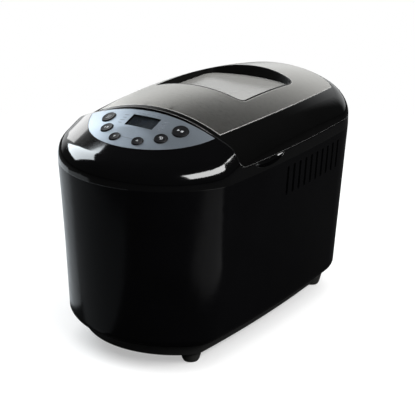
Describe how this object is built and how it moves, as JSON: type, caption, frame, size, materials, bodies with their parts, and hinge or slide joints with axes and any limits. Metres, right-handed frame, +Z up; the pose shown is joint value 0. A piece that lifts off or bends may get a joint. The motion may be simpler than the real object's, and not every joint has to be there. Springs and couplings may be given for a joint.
{
  "type": "bread machine",
  "caption": "Table-top bread machine with a tapered casing, sloped control panel, hinged domed lid with a sunken window, and a lift-out pan over a belt-driven paddle.",
  "frame": {"origin": "on the table under the middle of the machine", "axes": "+X to the machine's right seen from the front, +Y to the back, +Z up; the control panel faces -Y"},
  "size_m": [0.222, 0.3647, 0.2695],
  "materials": {
    "casing_black": "satin gloss",
    "deck_black": "high gloss",
    "frame_black": "gloss",
    "base_grey": "matte",
    "foot_rubber": "matte",
    "fascia_silver": "brushed",
    "display_clear": "clear",
    "display_grey": "satin",
    "button_black": "satin",
    "lid_steel": "brushed",
    "pane_glass": "polished",
    "oven_steel": "satin",
    "zinc_sheet": "zinc plated",
    "element_dark": "oxidised",
    "ceramic_white": "fired ceramic",
    "pan_coating": "non-stick coating",
    "bright_steel": "polished",
    "bearing_brass": "turned",
    "cast_aluminium": "die cast",
    "belt_rubber": "matte",
    "motor_steel": "satin",
    "motor_iron": "laminated",
    "fan_white": "matte",
    "board_green": "solder mask",
    "transformer_iron": "varnished",
    "capacitor_grey": "satin",
    "gland_black": "matte",
    "screw_steel": "zinc plated"
  },
  "bodies": {
    "machine": {"outer_housing": "casing_black", "top_deck": "deck_black", "base_plate": "base_grey", "foot_front_left": "foot_rubber", "foot_front_right": "foot_rubber", "foot_rear_left": "foot_rubber", "foot_rear_right": "foot_rubber", "control_fascia": "fascia_silver", "display_window": "display_clear", "display_module": "display_grey", "oven_chamber": "oven_steel", "pan_seat": "oven_steel", "chassis_plate": "zinc_sheet", "heat_shield": "zinc_sheet", "heating_element": "element_dark", "element_bushings": "ceramic_white", "hinge_pins": "bright_steel", "temperature_probe": "bright_steel", "shaft_bearing": "bearing_brass", "drive_belt": "belt_rubber", "motor_housing": "motor_steel", "motor_stator": "motor_iron", "control_board": "board_green", "power_board": "board_green", "power_transformer": "transformer_iron", "motor_capacitor": "capacitor_grey", "cord_gland": "gland_black", "base_screws": "screw_steel", "chassis_screws": "screw_steel", "motor_screws": "screw_steel", "deck_screws": "screw_steel"},
    "lid": {"lid_shell": "deck_black", "lid_top_plate": "lid_steel", "window_frame": "frame_black", "window_glass": "pane_glass", "inner_glass": "pane_glass", "lid_liner": "oven_steel", "liner_screws": "screw_steel"},
    "drive": {"drive_shaft": "bright_steel", "drive_coupling": "cast_aluminium", "large_pulley": "cast_aluminium"},
    "rotor": {"motor_rotor": "motor_iron", "motor_pulley": "cast_aluminium", "motor_fan": "fan_white"},
    "pan": {"bread_pan": "pan_coating", "pan_bearing": "bearing_brass"},
    "handle": {"pan_handle": "bright_steel"},
    "paddle": {"pan_shaft": "bright_steel", "kneading_paddle": "pan_coating"},
    "button_program": {"button_program": "button_black"},
    "button_size": {"button_size": "button_black"},
    "button_time_down": {"button_time_down": "button_black"},
    "button_time_up": {"button_time_up": "button_black"},
    "button_crust": {"button_crust": "button_black"},
    "button_start": {"button_start": "button_black"}
  },
  "joints": [
    {"name": "lid_hinge", "type": "hinge", "parent": "machine", "child": "lid", "pos_m": [0, 0.164, 0.221], "axis": [-1, 0, 0], "range_deg": [0, 92]},
    {"name": "pan_lift", "type": "slide", "parent": "machine", "child": "pan", "axis": [0, 0, 1], "range_m": [0, 0.032]},
    {"name": "handle_swing", "type": "hinge", "parent": "pan", "child": "handle", "pos_m": [0, 0.041, 0.1976], "axis": [1, 0, 0], "range_deg": [0, 180]},
    {"name": "drive_spin", "type": "hinge", "parent": "machine", "child": "drive", "pos_m": [0, 0.041, 0.04], "axis": [0, 0, 1], "continuous": true},
    {"name": "motor_spin", "type": "hinge", "parent": "machine", "child": "rotor", "pos_m": [0, -0.122, 0.06], "axis": [0, 0, 1], "continuous": true},
    {"name": "paddle_spin", "type": "hinge", "parent": "pan", "child": "paddle", "pos_m": [0, 0.041, 0.08], "axis": [0, 0, 1], "continuous": true},
    {"name": "button_program_press", "type": "slide", "parent": "machine", "child": "button_program", "axis": [0.1917, 0.3597, -0.9132], "range_m": [0, 0.001], "stiffness_N_per_m": 300},
    {"name": "button_size_press", "type": "slide", "parent": "machine", "child": "button_size", "axis": [0.1438, 0.3627, -0.9208], "range_m": [0, 0.001], "stiffness_N_per_m": 300},
    {"name": "button_time_down_press", "type": "slide", "parent": "machine", "child": "button_time_down", "axis": [0.0604, 0.3658, -0.9287], "range_m": [0, 0.001], "stiffness_N_per_m": 300},
    {"name": "button_time_up_press", "type": "slide", "parent": "machine", "child": "button_time_up", "axis": [-0.0604, 0.3658, -0.9287], "range_m": [0, 0.001], "stiffness_N_per_m": 300},
    {"name": "button_crust_press", "type": "slide", "parent": "machine", "child": "button_crust", "axis": [-0.1438, 0.3627, -0.9208], "range_m": [0, 0.001], "stiffness_N_per_m": 300},
    {"name": "button_start_press", "type": "slide", "parent": "machine", "child": "button_start", "axis": [-0.1917, 0.3597, -0.9132], "range_m": [0, 0.001], "stiffness_N_per_m": 300}
  ],
  "couplings": [
    {"joint": "motor_spin", "follows": "drive_spin", "ratio": 6},
    {"joint": "paddle_spin", "follows": "drive_spin", "ratio": 1}
  ]
}
